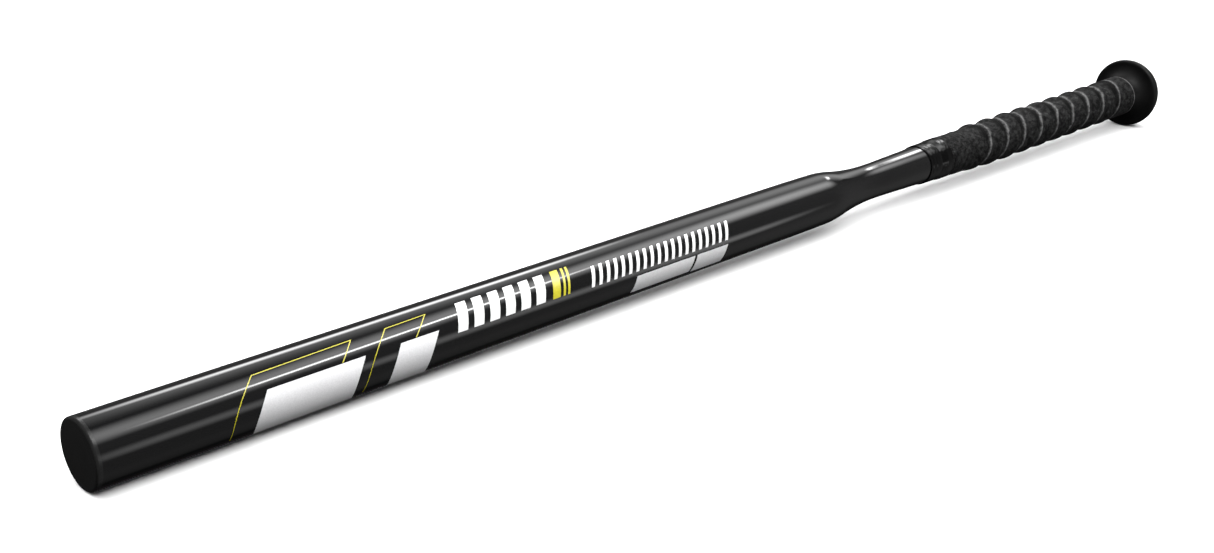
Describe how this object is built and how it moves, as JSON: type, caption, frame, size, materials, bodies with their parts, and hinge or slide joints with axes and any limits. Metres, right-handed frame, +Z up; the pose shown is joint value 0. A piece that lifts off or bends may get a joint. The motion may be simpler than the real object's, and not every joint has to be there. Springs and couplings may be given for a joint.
{
  "type": "weighted training bat",
  "caption": "Thin-barrel weighted training bat: straight blunt barrel, swaged neck, taped lapped cushion grip and wide flared knob.",
  "frame": {"origin": "middle of the bat's length, on the flat surface it lies on, under the bat's axis", "axes": "+X along the bat from the flat end of the barrel to the knob, +Z up, the bat resting on its barrel's end edge and its knob's rim"},
  "size_m": [0.8638, 0.0502, 0.0503],
  "materials": {
    "gloss_paint": "gloss black paint on alloy tube",
    "cap_plastic": "matte moulded black",
    "knob_plastic": "satin moulded black",
    "grip_leather": "matte pebbled synthetic leather",
    "vinyl_tape": "glossy wrinkled black vinyl",
    "rubber": "matte moulded rubber",
    "foam": "closed-cell foam",
    "weight_steel": "turned steel",
    "pin_steel": "spring steel"
  },
  "bodies": {
    "root": {"bat_shell": "gloss_paint", "end_cap": "cap_plastic", "front_foam_plug": "foam", "front_weight_cup": "rubber", "weight_bar": "weight_steel", "rear_weight_cup": "rubber", "rear_foam_plug": "foam", "knob": "knob_plastic", "knob_pin": "pin_steel", "grip_wrap": "grip_leather", "finishing_tape": "vinyl_tape"}
  },
  "joints": []
}
